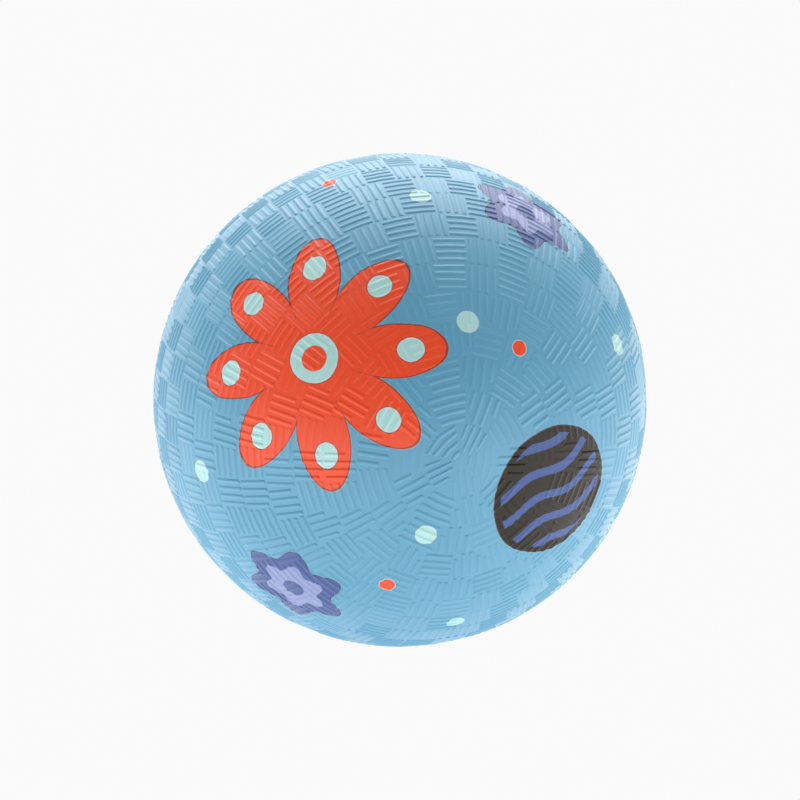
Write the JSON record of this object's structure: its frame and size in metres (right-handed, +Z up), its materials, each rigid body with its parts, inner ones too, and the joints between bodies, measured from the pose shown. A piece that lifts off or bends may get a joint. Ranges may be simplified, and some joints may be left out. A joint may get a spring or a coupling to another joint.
{
  "type": "rubber ball",
  "caption": "Hollow inflatable rubber play ball with a moulded basket-weave skin, a bonded inner bladder and a flush self-sealing needle valve.",
  "frame": {"origin": "centre of the ball", "axes": "+Z up; +Y along the mould axis, from the blind pole of the weave out through the valve; +X to the right of a viewer who faces the blind pole"},
  "size_m": [0.13, 0.13, 0.13],
  "materials": {
    "cover_rubber": "satin printed rubber with moulded basket-weave ridges",
    "bladder_rubber": "matt black, talc-dusted",
    "patch_rubber": "matt dark grey",
    "valve_rubber": "satin",
    "plug_rubber": "satin"
  },
  "bodies": {
    "ball": {"cover": "cover_rubber", "bladder": "bladder_rubber", "valve_patch": "patch_rubber", "valve_housing": "valve_rubber"},
    "valve_plug": {"valve_core": "plug_rubber"}
  },
  "joints": [
    {"name": "plug_slide", "type": "slide", "parent": "ball", "child": "valve_plug", "axis": [0, 1, 0], "range_m": [0, 0.02]}
  ]
}
